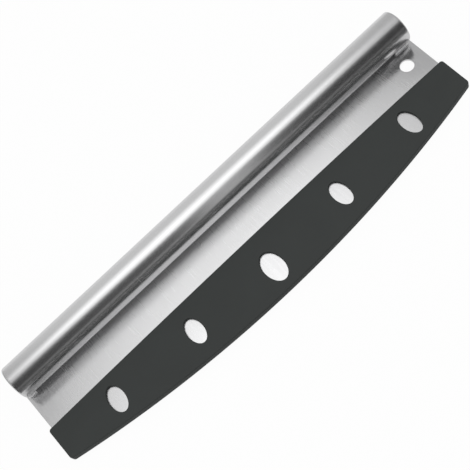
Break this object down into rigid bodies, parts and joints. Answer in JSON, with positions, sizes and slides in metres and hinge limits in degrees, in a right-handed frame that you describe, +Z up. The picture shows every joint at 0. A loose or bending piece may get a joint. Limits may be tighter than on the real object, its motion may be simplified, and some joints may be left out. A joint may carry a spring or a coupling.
{
  "type": "rocking pizza knife",
  "caption": "Rocking pizza knife: a curved sheet-steel blade under a round tube handle with welded end caps, a hanging hole, and a slip-on guard with oval windows.",
  "frame": {"origin": "middle of the knife's footprint as it lies on its back, at the level of the guard's back face", "axes": "+X along the knife towards the end with the hanging hole, +Y from the cutting edge to the handle, +Z up, out of the blade's front face, the side that the handle stands out on"},
  "size_m": [0.355, 0.094, 0.0274],
  "materials": {
    "blade_steel": "brushed from handle to edge",
    "handle_steel": "satin, almost polished",
    "cap_steel": "satin, ground smooth at the rim",
    "weld_steel": "small polished weld bead",
    "guard_plastic": "matte moulded plastic, charcoal black"
  },
  "bodies": {
    "knife": {"blade": "blade_steel", "handle_tube": "handle_steel", "left_end_cap": "cap_steel", "right_end_cap": "cap_steel", "left_seam_weld": "weld_steel", "right_seam_weld": "weld_steel"},
    "guard": {"blade_guard": "guard_plastic"}
  },
  "joints": [
    {"name": "guard_slide", "type": "slide", "parent": "knife", "child": "guard", "axis": [0, -1, 0], "range_m": [0, 0.06]}
  ]
}
